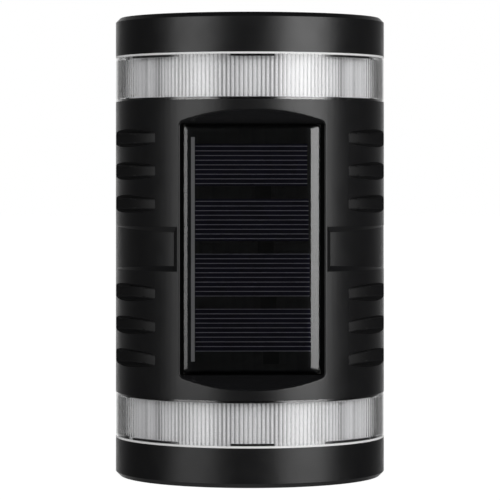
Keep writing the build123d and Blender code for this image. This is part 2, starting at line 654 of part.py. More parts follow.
def back_cover():
    cover = box(-COVER_X, COVER_X, COVER_FACE, 0, -COVER_Z, COVER_Z)
    pocket_end = COVER_FACE - KEYHOLE_POCKET
    drop = 2 * KEYHOLE_Z
    for shift in (0, -drop):
        move = Pos(0, 0, shift)
        cover += move * head_room(POCKET_WALL, pocket_end - POCKET_WALL, COVER_FACE)
        cover -= move * head_room(0, pocket_end, COVER_FACE)
        cover -= move * keyhole(0, COVER_FACE - 1, 1)

    for x in (-TOWER_X, TOWER_X):
        for z in (-TOWER_Z, TOWER_Z):
            cover -= rod_y(x, SCREW_SEAT, 1, z, SCREW_HEAD + RECESS_GAP)
            cover -= rod_y(x, COVER_FACE - 1, 1, z, SCREW_SHANK + HOLE_GAP)

    for x in (-STANDOFF_X, STANDOFF_X):
        cover += rod_y(x, CONTROL_BACK, COVER_FACE + 1, BOARD_Z, STANDOFF_RADIUS)
        depth = SMALL_LENGTH - BOARD + THREAD_GAP
        cover -= rod_y(x, CONTROL_BACK, CONTROL_BACK + depth, BOARD_Z, SMALL_SHANK + THREAD_GAP)

    recess = box(-FINGER_LENGTH / 2, FINGER_LENGTH / 2, -FINGER_RECESS, 1,
                 BOARD_Z - FINGER_WIDTH / 2, BOARD_Z + FINGER_WIDTH / 2)
    cover -= fillet(recess.edges().filter_by(Axis.Y), FINGER_WIDTH / 4)
    slot_x = (KNOB_LENGTH + KNOB_TRAVEL) / 2 + KNOB_GAP
    slot_z = KNOB_WIDTH / 2 + KNOB_GAP
    cover -= box(-slot_x, slot_x, COVER_FACE - 1, 1, BOARD_Z - slot_z, BOARD_Z + slot_z)

    for x in (-HOLDER_SCREW_X, HOLDER_SCREW_X):
        tip = HOLDER_SCREW_Y + HOLDER_SCREW_LENGTH + THREAD_GAP
        cover -= rod_y(x, COVER_FACE, tip, BATTERY_Z, SMALL_SHANK + THREAD_GAP)
    return cover


def back_gasket():
    x, z = INNER_RADIUS - COVER_GAP, DECK_UNDER - COVER_GAP
    inner = LEDGE_WIDTH - COVER_GAP
    frame = box(-x, x, COVER_FACE - GASKET, COVER_FACE, -z, z)
    return frame - box(-x + inner, x - inner, COVER_FACE - 2 * GASKET, 1, -z + inner, z - inner)


def back_cover_screws():
    screw = pan_screw(SCREW_SHANK, SCREW_HEAD, SCREW_HEAD_HEIGHT, SCREW_LENGTH)
    turned = Rot(-90, 0, 0) * screw
    return [Pos(x, SCREW_SEAT, z) * turned for x in (-TOWER_X, TOWER_X) for z in (-TOWER_Z, TOWER_Z)]


def cap_screws():
    screw = pan_screw(SCREW_SHANK, SCREW_HEAD, SCREW_HEAD_HEIGHT, SCREW_LENGTH)
    upper = [Pos(x, -POST_DEPTH, DECK_UNDER) * Rot(180, 0, 0) * screw for x in (-POST_X, POST_X)]
    return upper + [to_lower(s) for s in upper]


# --- control board ---
def control_board():
    x, z = BOARD_LENGTH / 2, BOARD_WIDTH / 2
    board = box(-x, x, CONTROL_FACE, CONTROL_BACK, BOARD_Z - z, BOARD_Z + z)
    for hole in (-STANDOFF_X, STANDOFF_X):
        board -= rod_y(hole, CONTROL_FACE - 1, CONTROL_BACK + 1, BOARD_Z, SMALL_SHANK + HOLE_GAP)
    return board


def board_screws():
    screw = pan_screw(SMALL_SHANK, SMALL_HEAD, SMALL_HEAD_HEIGHT, SMALL_LENGTH)
    turned = Rot(90, 0, 0) * screw
    return [Pos(x, CONTROL_FACE, BOARD_Z) * turned for x in (-STANDOFF_X, STANDOFF_X)]


def driver_chip():
    half, z, face = CHIP_SIZE / 2, BOARD_Z + CHIP_RISE, CONTROL_FACE - CHIP_HEIGHT
    chip = box(CHIP_X - half, CHIP_X + half, face, CONTROL_FACE, z - half, z + half)
    first_pin_mark = rod_y(CHIP_X - half / 2, face - 1, face + CHIP_HEIGHT / 8, z + half / 2, half / 6)
    return chip - first_pin_mark


def boost_inductor():
    """Bobbin: two flanges and the winding's round between them."""
    face, back = CONTROL_FACE - COIL_HEIGHT, CONTROL_FACE
    flange, z = COIL_HEIGHT / 6, BOARD_Z + COIL_RISE
    coil = rod_y(COIL_X, face, back, z, COIL_RADIUS * 0.8)
    coil += rod_y(COIL_X, face, face + flange, z, COIL_RADIUS)
    return coil + rod_y(COIL_X, back - flange, back, z, COIL_RADIUS)


def buffer_capacitor():
    can = rod_y(CAPACITOR_X, CONTROL_FACE - CAPACITOR_HEIGHT, CONTROL_FACE,
                BOARD_Z + CAPACITOR_RISE, CAPACITOR_RADIUS)
    return fillet(can.edges().group_by(Axis.Y)[0], CAPACITOR_RADIUS * 0.15)


def board_resistors():
    parts, z = [], BOARD_Z + RESISTOR_RISE
    for i in range(RESISTOR_COUNT):
        x = RESISTOR_X - i * RESISTOR_PITCH
        parts.append(box(x - RESISTOR_LENGTH / 2, x + RESISTOR_LENGTH / 2,
                         CONTROL_FACE - RESISTOR_HEIGHT, CONTROL_FACE,
                         z - RESISTOR_WIDTH / 2, z + RESISTOR_WIDTH / 2))
    return parts


# --- switch ---
def switch_body():
    x, z = SWITCH_LENGTH / 2, SWITCH_WIDTH / 2
    body = box(-x, x, CONTROL_BACK, SWITCH_TOP, BOARD_Z - z, BOARD_Z + z)
    slot_x = (KNOB_STEM + KNOB_TRAVEL) / 2 + KNOB_GAP
    slot_z = KNOB_STEM / 2 + KNOB_GAP
    floor = SWITCH_TOP - KNOB_STEM_DEPTH - KNOB_GAP
    return body - box(-slot_x, slot_x, floor, SWITCH_TOP + 1, BOARD_Z - slot_z, BOARD_Z + slot_z)


def switch_knob():
    x0, x1 = KNOB_OFF_X - KNOB_LENGTH / 2, KNOB_OFF_X + KNOB_LENGTH / 2
    z = KNOB_WIDTH / 2
    head = box(x0, x1, SWITCH_TOP + KNOB_LIFT, -KNOB_BELOW_BACK, BOARD_Z - z, BOARD_Z + z)
    head = fillet(head.edges().group_by(Axis.Y)[-1], KNOB_WIDTH / 12)
    for i in (-1, 0, 1):
        x = KNOB_OFF_X + i * KNOB_LENGTH / 4
        head -= box(x - KNOB_LENGTH / 20, x + KNOB_LENGTH / 20, -KNOB_BELOW_BACK - 0.3, 0,
                    BOARD_Z - z, BOARD_Z + z)
    stem = KNOB_STEM / 2
    return head + box(KNOB_OFF_X - stem, KNOB_OFF_X + stem, SWITCH_TOP - KNOB_STEM_DEPTH,
                      SWITCH_TOP + 2 * KNOB_LIFT, BOARD_Z - stem, BOARD_Z + stem)


# --- battery ---
def holder_screw_blank(grow):
    """Countersunk screw along +Y, widened by grow."""
    head = Cone(SMALL_HEAD + grow, SMALL_SHANK + grow, SMALL_HEAD - SMALL_SHANK)
    head = Rot(-90, 0, 0) * Pos(0, 0, (SMALL_HEAD - SMALL_SHANK) / 2) * head
    return head + rod_y(0, 0, HOLDER_SCREW_LENGTH, 0, SMALL_SHANK + grow)


def holder_screws():
    cross = Box(SMALL_HEAD * 1.1, CROSS_WIDTH, CROSS_WIDTH / 2)
    cross += Box(CROSS_WIDTH / 2, CROSS_WIDTH, SMALL_HEAD * 1.1)
    screw = holder_screw_blank(0) - cross
    return [Pos(x, HOLDER_SCREW_Y, BATTERY_Z) * screw for x in (-HOLDER_SCREW_X, HOLDER_SCREW_X)]


def battery_holder():
    holder = box(-HOLDER_END_X, HOLDER_END_X, HOLDER_RIM, COVER_FACE,
                 BATTERY_Z - HOLDER_HALF, BATTERY_Z + HOLDER_HALF)
    holder -= box(-ROOM_X, ROOM_X, HOLDER_RIM - 1, HOLDER_FLOOR,
                  BATTERY_Z - HOLDER_INSIDE, BATTERY_Z + HOLDER_INSIDE)
    for x in (-HOLDER_SCREW_X, HOLDER_SCREW_X):
        holder -= Pos(x, HOLDER_SCREW_Y, BATTERY_Z) * holder_screw_blank(THREAD_GAP)
        holder -= rod_y(x, HOLDER_FLOOR - 1, HOLDER_SCREW_Y, BATTERY_Z, SMALL_HEAD + THREAD_GAP)
    return holder


def battery_can():
    can = rod_x(CAN_LEFT, CAN_RIGHT, BATTERY_Y, BATTERY_Z, BATTERY_RADIUS)
    can = fillet(can.edges().group_by(Axis.X)[-1], WRAP_SHORT)
    return can + rod_x(CAN_RIGHT - 1, CAN_RIGHT + NUB_LENGTH, BATTERY_Y, BATTERY_Z, NUB_RADIUS)


def battery_wrap():
    left, right = CAN_LEFT + WRAP_SHORT, CAN_RIGHT - WRAP_SHORT
    sleeve = rod_x(left, right, BATTERY_Y, BATTERY_Z, BATTERY_RADIUS + WRAP)
    return sleeve - rod_x(left - 1, right + 1, BATTERY_Y, BATTERY_Z, BATTERY_RADIUS)


def contact_plate(x0, x1):
    half = CONTACT_WIDTH / 2
    return box(x0, x1, HOLDER_RIM - CONTACT_RISE, HOLDER_FLOOR - BATTERY_GAP,
               BATTERY_Z - half, BATTERY_Z + half)


def battery_spring():
    """Cone-shaped coil, quarter turn by quarter turn, with its axis along X."""
    start_x = -ROOM_X + CONTACT + SPRING_WIRE
    end_x = CAN_LEFT - SPRING_WIRE
    quarters = SPRING_TURNS * 4

    def point(turn):
        share = turn / quarters
        radius = SPRING_BASE + (SPRING_TIP - SPRING_BASE) * share
        angle = turn * pi / 2
        return Vector(start_x + (end_x - start_x) * share, BATTERY_Y + radius * cos(angle),
                      BATTERY_Z + radius * sin(angle))

    path = Wire([ThreePointArc(point(i), point(i + 0.5), point(i + 1)) for i in range(quarters)])
    rise = (end_x - start_x) / SPRING_TURNS
    print("spring: least gap between turns", round(rise - 2 * SPRING_WIRE, 2))
    section = Plane(origin=path @ 0, z_dir=path % 0) * Circle(SPRING_WIRE)
    return sweep(section, path=path)


# --- wires ---
def bend_radii(points):
    """0.45 of the shorter run beside each corner, over the tangent of half the turn."""
    radii = []
    for a, b, c in zip(points, points[1:], points[2:]):
        before, after = Vector(*b) - Vector(*a), Vector(*c) - Vector(*b)
        turn = radians(before.get_angle(after))
        radii.append(0.45 * min(before.length, after.length) / tan(turn / 2))
    return radii


def wire(name, points):
    """Insulated wire along straight runs and the arcs between them."""
    radii = bend_radii(points)
    print(name, "least bend radius", round(min(radii), 1))
    path = FilletPolyline(*points, radius=radii)
    section = Plane(origin=path @ 0, z_dir=path % 0) * Circle(WIRE)
    return sweep(section, path=path)


def wires():
    """All eight, as pairs. Their ends lie on pads, contacts and boards, and the points between
    them are the free route."""
    top_pad = BOARD_Z + BOARD_WIDTH / 2 - WIRE_PAD_INSET
    low_pad = BOARD_Z - BOARD_WIDTH / 2 + WIRE_PAD_INSET
    tab_y = HOLDER_RIM - CONTACT_RISE / 2
    tab_z = BATTERY_Z + CONTACT_WIDTH / 4
    made = {}
    for colour, side in (("red", 1), ("black", -1)):
        x = LED_WIRE_X + side * WIRE_PITCH / 2
        made["upper_led_wire_" + colour] = [
            (x, CONTROL_FACE, top_pad), (x, -15, top_pad), (x, -20.5, 31),
            (x, -LED_DEPTH, 40), (x, -LED_DEPTH, PCB_LED_Z)]
        made["lower_led_wire_" + colour] = [
            (x, CONTROL_FACE, low_pad), (x, -16, low_pad), (x, -23.5, -3),
            (x, -24.5, -22), (x, -LED_DEPTH, -38), (x, -LED_DEPTH, -PCB_LED_Z)]
        x, z = PANEL_WIRE_X + side * WIRE_PITCH / 2, PANEL_WIRE_Z
        made["panel_wire_" + colour] = [
            (x, CONTROL_FACE, z), (x, -15.5, z), (x, -26, z + 4.5), (x, -37, z), (x, BOARD_BACK, z)]
        x = side * ROOM_X
        made["battery_wire_" + colour] = [
            (x, tab_y, tab_z), (x + side * 5, tab_y, tab_z),
            (x + side * 6, tab_y - 1, low_pad - 2.5), (x - side * 3, tab_y - 3, low_pad - 1),
            (side * BATTERY_PAD_X, tab_y - 2.5, low_pad), (side * BATTERY_PAD_X, CONTROL_FACE, low_pad)]
    return {name: wire(name, points) for name, points in made.items()}


# --- the whole light ---
def all_pieces():
    """Every node's name with its solid or list of solids."""
    cap, lens, sleeve = upper_cap(), upper_lens(), upper_diffuser()
    leds = upper_leds()
    pieces = {
        "main_housing": main_housing(),
        "top_cap": cap,
        "bottom_cap": to_lower(cap),
        "upper_lens": lens,
        "lower_lens": to_lower(lens),
        "upper_diffuser": sleeve,
        "lower_diffuser": to_lower(sleeve),
        "upper_led_board": upper_led_board(),
        "lower_led_board": to_lower(upper_led_board()),
        "upper_leds": leds,
        "lower_leds": [to_lower(led) for led in leds],
        "upper_led_tape": upper_led_tape(),
        "lower_led_tape": to_lower(upper_led_tape()),
        "upper_grommet": upper_grommet(),
        "lower_grommet": to_lower(upper_grommet()),
        "panel_tape": panel_tape(),
        "panel_board": panel_board(),
        "cell_ribbon": cell_ribbon(),
        "cell_links": cell_links(),
        "panel_epoxy": panel_epoxy(),
        "back_cover": back_cover(),
        "back_gasket": back_gasket(),
        "back_cover_screws": back_cover_screws(),
        "cap_screws": cap_screws(),
        "board_screws": board_screws(),
        "holder_screws": holder_screws(),
        "control_board": control_board(),
        "driver_chip": driver_chip(),
        "boost_inductor": boost_inductor(),
        "buffer_capacitor": buffer_capacitor(),
        "board_resistors": board_resistors(),
        "switch_body": switch_body(),
        "switch_knob": switch_knob(),
        "battery_holder": battery_holder(),
        "battery_can": battery_can(),
        "battery_wrap": battery_wrap(),
        "positive_plate": contact_plate(ROOM_X - CONTACT, ROOM_X),
        "negative_plate": contact_plate(-ROOM_X, -ROOM_X + CONTACT),
        "battery_spring": battery_spring(),
    }
    for i in range(CELL_COUNT):
        pieces[f"solar_cell_{i + 1}"] = solar_cell(i)
    pieces.update(wires())
    return pieces


os.makedirs("parts", exist_ok=True)
for node, shape in all_pieces().items():
    solids = shape if isinstance(shape, list) else [shape]
    solids = [solid for item in solids for solid in item.solids()]
    export_step(Compound(children=solids) if len(solids) > 1 else solids[0], f"parts/{node}.step")
    print(node, len(solids), round(sum(solid.volume for solid in solids), 1))
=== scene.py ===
"""Solar fence light: finishes, lens bands, resin slab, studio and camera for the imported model.

Laid out as a Blender add-on and run as a script. Everything is in metres in the model's own
frame: +Z up, the front looks along -Y and the flat back lies on y = 0.
"""

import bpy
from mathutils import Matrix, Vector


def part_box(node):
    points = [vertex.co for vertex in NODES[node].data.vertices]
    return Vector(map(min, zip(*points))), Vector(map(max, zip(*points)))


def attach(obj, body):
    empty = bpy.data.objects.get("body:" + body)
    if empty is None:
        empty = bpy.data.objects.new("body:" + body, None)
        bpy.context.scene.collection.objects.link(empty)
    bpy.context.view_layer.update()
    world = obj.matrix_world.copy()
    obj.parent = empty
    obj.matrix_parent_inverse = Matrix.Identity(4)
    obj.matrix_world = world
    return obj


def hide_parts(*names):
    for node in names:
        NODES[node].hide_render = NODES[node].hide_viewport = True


bl_info = {
    "name": "Solar fence light",
    "version": (1, 0, 0),
    "blender": (4, 5, 0),
    "location": "View3D > Sidebar > Fence light",
    "description": "Dresses the half-round solar fence light: plastics, lens bands, cells and studio",
    "category": "Object",
}

from math import cos, hypot, pi, radians, sin

import bmesh
import bpy
import numpy as np
from bpy.props import (FloatProperty, FloatVectorProperty, IntProperty, PointerProperty,
                       StringProperty)
from mathutils import Vector

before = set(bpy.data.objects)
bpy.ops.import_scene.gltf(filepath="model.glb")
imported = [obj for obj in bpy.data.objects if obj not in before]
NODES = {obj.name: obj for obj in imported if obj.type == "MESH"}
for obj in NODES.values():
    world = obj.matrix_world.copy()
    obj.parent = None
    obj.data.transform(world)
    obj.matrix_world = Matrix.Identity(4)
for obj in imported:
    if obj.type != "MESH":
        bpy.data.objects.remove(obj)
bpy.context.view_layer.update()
MM = 0.001
LIGHT, SWITCH = "light", "switch"


def corner(node, end):
    """One corner of a node's box: end 0 is the lowest, 1 the highest."""
    return tuple(float(c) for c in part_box(node)[end])


RADIUS = corner("main_housing", 1)[0]
AXIS_Y = corner("main_housing", 0)[1] + RADIUS
BODY_TOP = corner("upper_lens", 0)[2]
LENS_TOP = corner("upper_lens", 1)[2]
LIGHT_TOP = corner("top_cap", 1)[2]
PANEL_LOW, PANEL_HIGH = corner("panel_epoxy", 0), corner("panel_epoxy", 1)
AXIS = Vector((0, AXIS_Y, 0))     # upright axis of the round front
WINDOW_MARGIN = 1.5 * MM          # from the panel's side to past the window's side
FINGERS = (9, 9, 10, 10)          # printed on solar_cell_1 to solar_cell_4
WELD_GAP = 0.002 * MM             # loose triangles closer than this are joined

# Edges over these angles stay sharp.
MOULDING_EDGE, SMALL_PART_EDGE = radians(28), radians(32)
BAND_EDGE, RESIN_EDGE = radians(35), radians(50)


# --- helpers ---
def linear(code):
    """sRGB hex colour as linear RGBA."""
    parts = [int(code.lstrip("#")[i:i + 2], 16) / 255 for i in (0, 2, 4)]
    return tuple(c / 12.92 if c <= 0.04045 else ((c + 0.055) / 1.055) ** 2.4 for c in parts) + (1.0,)


def add(tree, kind, settings=None, **links):
    """Adds a node. settings are its properties, or its inputs by name or number; links are
    sockets that feed its inputs, named with _ for a space or as i0, i1 by number."""
    node = tree.nodes.new(kind)
    for key, value in (settings or {}).items():
        if isinstance(key, int) or key in node.inputs:
            node.inputs[key].default_value = value
        else:
            setattr(node, key, value)
    for key, source in links.items():
        name = int(key[1:]) if key[0] == "i" and key[1:].isdigit() else key.replace("_", " ")
        tree.links.new(source, node.inputs[name])
    return node


def new_material(name):
    """Empty node material and its output node."""
    material = bpy.data.materials.new(name)
    material.use_nodes = True
    material.node_tree.nodes.clear()
    return material, material.node_tree, material.node_tree.nodes.new("ShaderNodeOutputMaterial")


def put_material(thing, material):
    thing.data.materials.clear()
    thing.data.materials.append(material)


def make_mesh_object(name, points, faces):
    """Object at the origin with a mesh of these points and faces."""
    mesh = bpy.data.meshes.new(name)
    mesh.from_pydata(points.tolist(), [], faces)
    mesh.update()
    thing = bpy.data.objects.new(name, mesh)
    bpy.context.scene.collection.objects.link(thing)
    return thing


def ring_faces(rings, count):
    """Four-sided faces between rings of count points each, one ring after the other."""
    k = np.arange(count)
    after = (k + 1) % count
    faces = []
    for base in range(0, (rings - 1) * count, count):
        top = base + count
        faces += np.column_stack([k + base, after + base, after + top, k + top]).tolist()
    return faces


def place_piece(thing, material, node):
    """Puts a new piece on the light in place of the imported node."""
    put_material(thing, material)
    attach(thing, LIGHT)
    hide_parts(node)


def smooth_by_angle(thing, angle):
    """Smooth shading that stays sharp at edges over the given angle."""
    thing.data.polygons.foreach_set("use_smooth", np.ones(len(thing.data.polygons), bool))
    split = thing.modifiers.new("Sharp edges", "EDGE_SPLIT")
    split.split_angle = angle
    split.use_edge_sharp = False
    even = thing.modifiers.new("Flat faces lead", "WEIGHTED_NORMAL")
    even.weight = 50


def smooth_cad(node, angle):
    """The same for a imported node, whose triangles are first joined by a Weld modifier."""
    thing = NODES[node]
    weld = thing.modifiers.new("Join triangles", "WELD")
    weld.merge_threshold = WELD_GAP
    smooth_by_angle(thing, angle)


# --- finishes ---
def grain(tree, place, size, distance, strength):
    """Bump of a fine random grain, size across, distance high."""
    noise = add(tree, "ShaderNodeTexNoise", {"Scale": 1 / size, "Detail": 2.0, "Roughness": 0.6},
                Vector=place)
    return add(tree, "ShaderNodeBump", {"Strength": strength, "Distance": distance},
               Height=noise.outputs["Fac"]).outputs["Normal"]


def mottled(tree, place, size, low, high):
    """Soft variation between two values, for roughness. The noise keeps to about 0.3 to 0.7."""
    noise = add(tree, "ShaderNodeTexNoise", {"Scale": 1 / size, "Detail": 3.0}, Vector=place)
    return add(tree, "ShaderNodeMapRange",
               {"From Min": 0.3, "From Max": 0.7, "To Min": low, "To Max": high},
               Value=noise.outputs["Fac"]).outputs["Result"]


def textured_abs(finish):
    """Injection-moulded ABS from a spark-eroded mould: a deep black with a fine even grain that
    spreads highlights into soft bands. The real grain is about 0.1 mm and is drawn coarser, so
    that it shows. Inside the window the mould is polished, so the sloped walls there are
    smoother. The housing, caps and back cover share it, so it is made once."""
    name = "textured_abs"
    if name in bpy.data.materials:
        return bpy.data.materials[name]
    material, tree, output = new_material(name)
    place = add(tree, "ShaderNodeTexCoord").outputs["Object"]
    axes = add(tree, "ShaderNodeSeparateXYZ", Vector=place)
    from_axis = add(tree, "ShaderNodeMath", {"operation": "ADD", 1: -AXIS_Y}, i0=axes.outputs["Y"])
    x2 = add(tree, "ShaderNodeMath", {"operation": "POWER", 1: 2.0}, i0=axes.outputs["X"])
    y2 = add(tree, "ShaderNodeMath", {"operation": "POWER", 1: 2.0}, i0=from_axis.outputs[0])
    both = add(tree, "ShaderNodeMath", {"operation": "ADD"}, i0=x2.outputs[0], i1=y2.outputs[0])
    reach = add(tree, "ShaderNodeMath", {"operation": "SQRT"}, i0=both.outputs[0])
    below_front = add(tree, "ShaderNodeMapRange",
                      {"From Min": RADIUS - 0.4 * MM, "From Max": RADIUS - 0.9 * MM},
                      Value=reach.outputs[0])
    side = add(tree, "ShaderNodeMath", {"operation": "ABSOLUTE"}, i0=axes.outputs["X"])
    narrow = add(tree, "ShaderNodeMath",
                 {"operation": "LESS_THAN", 1: PANEL_HIGH[0] + WINDOW_MARGIN}, i0=side.outputs[0])
    polished = add(tree, "ShaderNodeMath", {"operation": "MULTIPLY"},
                   i0=below_front.outputs["Result"], i1=narrow.outputs[0])
    rough = mottled(tree, place, 6 * MM, *finish.roughness)
    rough = add(tree, "ShaderNodeMix", {"data_type": "FLOAT", "B": 0.16},
                Factor=polished.outputs[0], A=rough).outputs["Result"]
    speck = add(tree, "ShaderNodeTexNoise", {"Scale": 1 / finish.grain, "Detail": 2.0},
                Vector=place)
    tint = add(tree, "ShaderNodeMix", {"data_type": "RGBA", "A": linear(finish.body),
                                       "B": linear("#141415")}, Factor=speck.outputs["Fac"])
    shader = add(tree, "ShaderNodeBsdfPrincipled", {"IOR": 1.53},
                 Base_Color=tint.outputs["Result"], Roughness=rough,
                 Normal=grain(tree, place, finish.grain, 0.05 * MM, 0.6))
    tree.links.new(shader.outputs[0], output.inputs["Surface"])
    return material


def plain_plastic(name, colour, rough, grain_size=0.6 * MM):
    """Moulded plastic or lacquer in one colour with a faint grain and uneven gloss."""
    material, tree, output = new_material(name)
    place = add(tree, "ShaderNodeTexCoord").outputs["Object"]
    shader = add(tree, "ShaderNodeBsdfPrincipled", {"Base Color": linear(colour), "IOR": 1.5},
                 Roughness=mottled(tree, place, 5 * MM, rough * 0.9, rough * 1.1),
                 Normal=grain(tree, place, grain_size, 0.01 * MM, 0.2))
    tree.links.new(shader.outputs[0], output.inputs["Surface"])
    return material


def ribbed_opal_painted_shade(colour, rib_count):
    """Moulded opal polypropylene, milky white. The grooves between its ribs carry painted shade:
    the colour falls to 0.42 of itself there, along the shape's own wave
    |sin(a x ribs)|."""
    material, tree, output = new_material("opal_polypropylene")
    place = add(tree, "ShaderNodeTexCoord").outputs["Object"]
    axes = add(tree, "ShaderNodeSeparateXYZ", Vector=place)
    forward = add(tree, "ShaderNodeMath", {"operation": "SUBTRACT", 0: AXIS_Y}, i1=axes.outputs["Y"])
    angle = add(tree, "ShaderNodeMath", {"operation": "ARCTAN2"}, i0=axes.outputs["X"],
                i1=forward.outputs[0])
    turn = add(tree, "ShaderNodeMath",
               {"operation": "MULTIPLY_ADD", 1: rib_count, 2: rib_count * pi / 2},
               i0=angle.outputs[0])
    wave = add(tree, "ShaderNodeMath", {"operation": "SINE"}, i0=turn.outputs[0])
    crest = add(tree, "ShaderNodeMath", {"operation": "ABSOLUTE"}, i0=wave.outputs[0])
    # Painted shade: the colour itself is darkened in the grooves between the ribs.
    shade = add(tree, "ShaderNodeMapRange", {"From Max": 0.75, "To Min": 0.42},
                Value=crest.outputs[0])
    tint = add(tree, "ShaderNodeHueSaturation", {"Color": linear(colour)},
               Value=shade.outputs["Result"])
    shader = add(tree, "ShaderNodeBsdfPrincipled", Base_Color=tint.outputs["Color"],
                 Roughness=mottled(tree, place, 5 * MM, 0.4, 0.5))
    tree.links.new(shader.outputs[0], output.inputs["Surface"])
    return material


def plated_metal(name, colour, rough):
    """Zinc or nickel plating over steel: bright, with a slight uneven haze from the bath."""
    material, tree, output = new_material(name)
    place = add(tree, "ShaderNodeTexCoord").outputs["Object"]
    shader = add(tree, "ShaderNodeBsdfPrincipled", {"Base Color": linear(colour), "Metallic": 1.0},
                 Roughness=mottled(tree, place, 2 * MM, rough * 0.75, rough * 1.3),
                 Normal=grain(tree, place, 0.3 * MM, 0.004 * MM, 0.3))
    tree.links.new(shader.outputs[0], output.inputs["Surface"])
    return material


def clear_polycarbonate():
    """Moulded polycarbonate: clear and glossy, so that the sleeve shows through it. The last
    0.6 mm, which is welded to the cap, is frosted. Lamps and diffuse light pass straight through
    to the sleeve behind."""
    material, tree, output = new_material("clear_polycarbonate")
    place = add(tree, "ShaderNodeTexCoord").outputs["Object"]
    axes = add(tree, "ShaderNodeSeparateXYZ", Vector=place)
    height = add(tree, "ShaderNodeMath", {"operation": "ABSOLUTE"}, i0=axes.outputs["Z"])
    weld = add(tree, "ShaderNodeMapRange",
               {"From Min": LENS_TOP - 0.75 * MM, "From Max": LENS_TOP - 0.55 * MM},
               Value=height.outputs[0]).outputs["Result"]
    clearness = add(tree, "ShaderNodeMapRange", {"To Min": 1.0, "To Max": 0.35}, Value=weld)
    frost = add(tree, "ShaderNodeMapRange", {"To Max": 0.4}, Value=weld)
    rough = add(tree, "ShaderNodeMath", {"operation": "ADD"}, i0=frost.outputs["Result"],
                i1=mottled(tree, place, 4 * MM, 0.04, 0.08))
    glass = add(tree, "ShaderNodeBsdfPrincipled",
                {"Base Color": linear("#fafafa"), "IOR": 1.585},
                Transmission_Weight=clearness.outputs["Result"], Roughness=rough.outputs[0])
    through = add(tree, "ShaderNodeBsdfTransparent", {"Color": linear("#f6f6f6")})
    path = add(tree, "ShaderNodeLightPath")
    lamps = add(tree, "ShaderNodeMath", {"operation": "MAXIMUM"},
                i0=path.outputs["Is Shadow Ray"], i1=path.outputs["Is Diffuse Ray"])
    mixed = add(tree, "ShaderNodeMixShader", i0=lamps.outputs[0], i1=glass.outputs[0],
                i2=through.outputs[0])
    tree.links.new(mixed.outputs[0], output.inputs["Surface"])
    return material


def cast_epoxy():
    """Clear epoxy poured over the cells: seen through without bending, with a wet gloss. Its index
    is set above epoxy's own 1.5, because the slab's edges shine that brightly."""
    material, tree, output = new_material("cast_epoxy")
    place = add(tree, "ShaderNodeTexCoord").outputs["Object"]
    mirror = add(tree, "ShaderNodeBsdfGlossy", Roughness=mottled(tree, place, 8 * MM, 0.03, 0.06))
    through = add(tree, "ShaderNodeBsdfTransparent", {"Color": linear("#e8e9ec")})
    share = add(tree, "ShaderNodeFresnel", {"IOR": 1.85})
    mixed = add(tree, "ShaderNodeMixShader", i0=share.outputs[0], i1=through.outputs[0],
                i2=mirror.outputs[0])
    tree.links.new(mixed.outputs[0], output.inputs["Surface"])
    return material


def silicon_cell(name, first_line, pitch, line):
    """Polycrystalline silicon strip: near black with a blue cast in slightly uneven grains, and
    printed silver fingers. A finger is really 0.1 mm; it is drawn wider so that it shows."""
    material, tree, output = new_material(name)
    place = add(tree, "ShaderNodeTexCoord").outputs["Object"]
    axes = add(tree, "ShaderNodeSeparateXYZ", Vector=place)
    steps = add(tree, "ShaderNodeMath", {"operation": "SUBTRACT", 1: first_line},
                i0=axes.outputs["Z"])
    steps = add(tree, "ShaderNodeMath", {"operation": "DIVIDE", 1: pitch}, i0=steps.outputs[0])
    wrapped = add(tree, "ShaderNodeMath", {"operation": "PINGPONG", 1: 0.5}, i0=steps.outputs[0])
    edge = line / pitch / 2
    on_line = add(tree, "ShaderNodeMapRange", {"From Min": edge * 1.4, "From Max": edge * 0.6},
                  Value=wrapped.outputs[0])
    crystals = add(tree, "ShaderNodeTexVoronoi", {"Scale": 1 / (5 * MM)}, Vector=place)
    shade = add(tree, "ShaderNodeMix", {"data_type": "RGBA", "A": linear("#14122a"),
                                        "B": linear("#1d1a38")},
                Factor=crystals.outputs["Color"])
    colour = add(tree, "ShaderNodeMix", {"data_type": "RGBA", "B": linear("#c2c0cc")},
                 Factor=on_line.outputs["Result"], A=shade.outputs["Result"])
    shader = add(tree, "ShaderNodeBsdfPrincipled", {"Roughness": 0.5, "IOR": 1.3},
                 Base_Color=colour.outputs["Result"])
    tree.links.new(shader.outputs[0], output.inputs["Surface"])
    return material


def studio_floor():
    """Matt white card. The camera sees it as white, with the light's own soft shadow on it. It is
    left out of reflections and blocks no lamp, as if the light hung in front of the background."""
    material, tree, output = new_material("white_card")
    matt = add(tree, "ShaderNodeBsdfDiffuse", {"Color": linear("#949493")})
    white = add(tree, "ShaderNodeEmission", {"Color": (1, 1, 1, 1), "Strength": 1.9})
    path = add(tree, "ShaderNodeLightPath")
    share = add(tree, "ShaderNodeMath", {"operation": "MULTIPLY", 1: 0.5},
                i0=path.outputs["Is Camera Ray"])
    mixed = add(tree, "ShaderNodeMixShader", i0=share.outputs[0], i1=matt.outputs[0],
                i2=white.outputs[0])
    unseen = add(tree, "ShaderNodeMath", {"operation": "MAXIMUM"},
                 i0=path.outputs["Is Glossy Ray"], i1=path.outputs["Is Shadow Ray"])
    clear = add(tree, "ShaderNodeBsdfTransparent")
    mixed = add(tree, "ShaderNodeMixShader", i0=unseen.outputs[0], i1=mixed.outputs[0],
                i2=clear.outputs[0])
    tree.links.new(mixed.outputs[0], output.inputs["Surface"])
    return material


